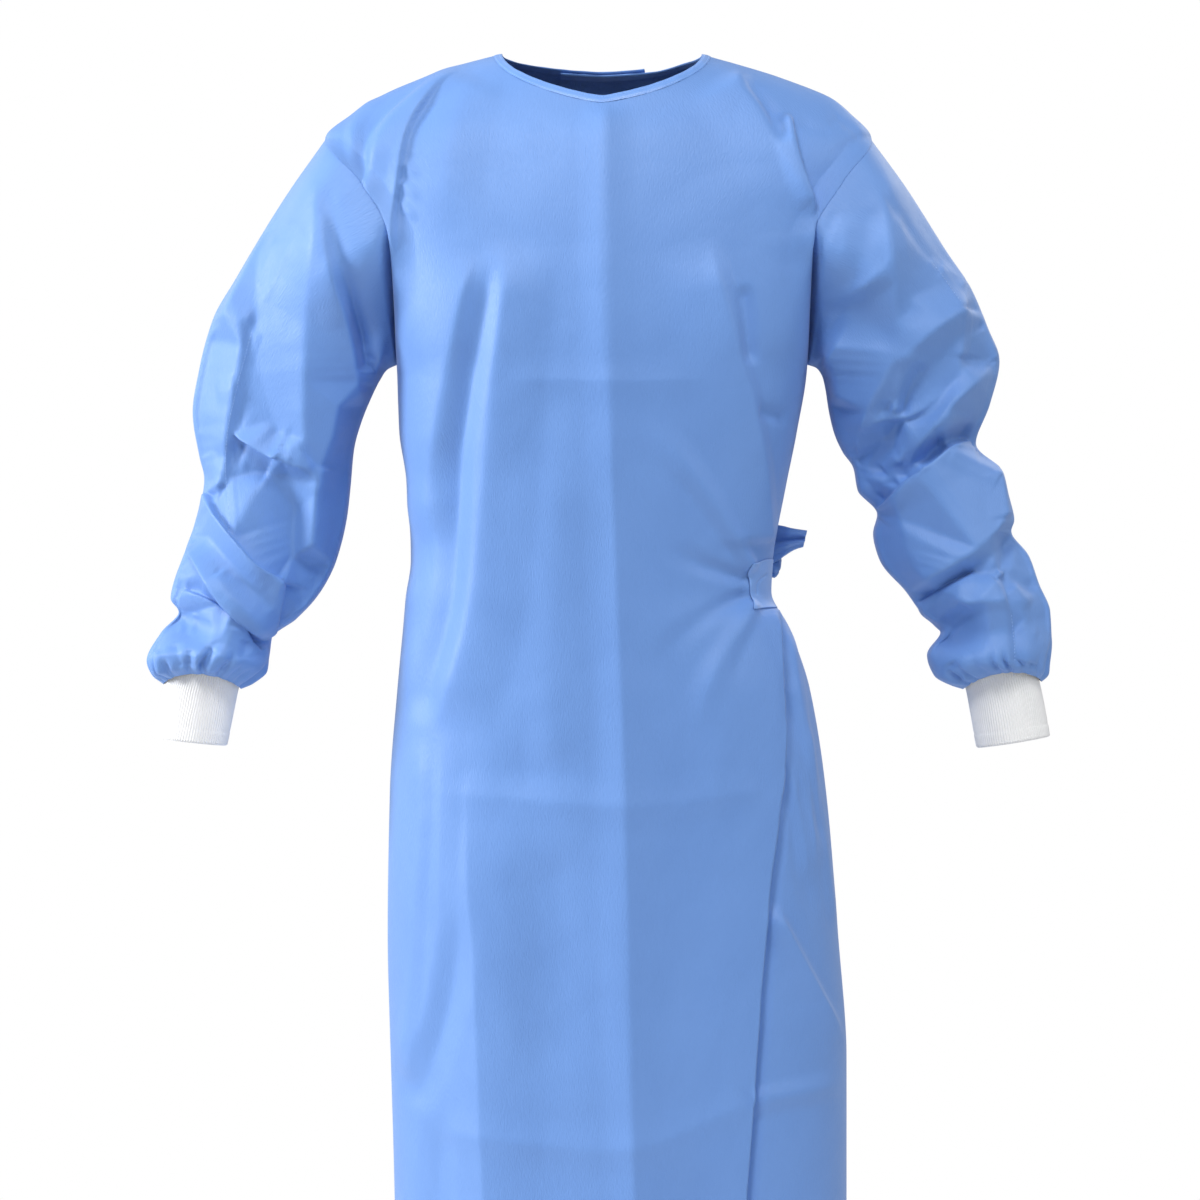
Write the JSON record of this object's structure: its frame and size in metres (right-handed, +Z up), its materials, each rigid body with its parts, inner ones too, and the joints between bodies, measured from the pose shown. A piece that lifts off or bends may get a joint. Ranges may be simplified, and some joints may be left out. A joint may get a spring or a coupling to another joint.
{
  "type": "surgical gown",
  "caption": "Long-sleeved wrap-back surgical gown in its worn hollow form, with a bound neck, rib-knit cuffs, gathered sleeve ends and a waist tie.",
  "frame": {"origin": "between the shoulders, level with the sides of the neck, where the wearer's shoulders hold the gown", "axes": "+Z up along the body, -Y to the front, +X to the wearer's left"},
  "size_m": [0.8369, 0.3033, 1.2707],
  "materials": {
    "gown_cloth": "matt nonwoven with a fine embossed grain",
    "rib_knit": "white rib knit",
    "binding": "smooth folded binding with a soft sheen",
    "tie_cloth": "matt nonwoven, a little paler than the gown"
  },
  "bodies": {
    "root": {"front_panel": "gown_cloth", "back_panel_outer": "gown_cloth", "back_panel_inner": "gown_cloth", "sleeve_right": "gown_cloth", "sleeve_left": "gown_cloth", "cuff_right": "rib_knit", "cuff_left": "rib_knit", "neck_binding": "binding", "belt_front": "tie_cloth", "belt_back": "tie_cloth", "belt_knot": "tie_cloth", "belt_tail": "tie_cloth"}
  },
  "joints": []
}
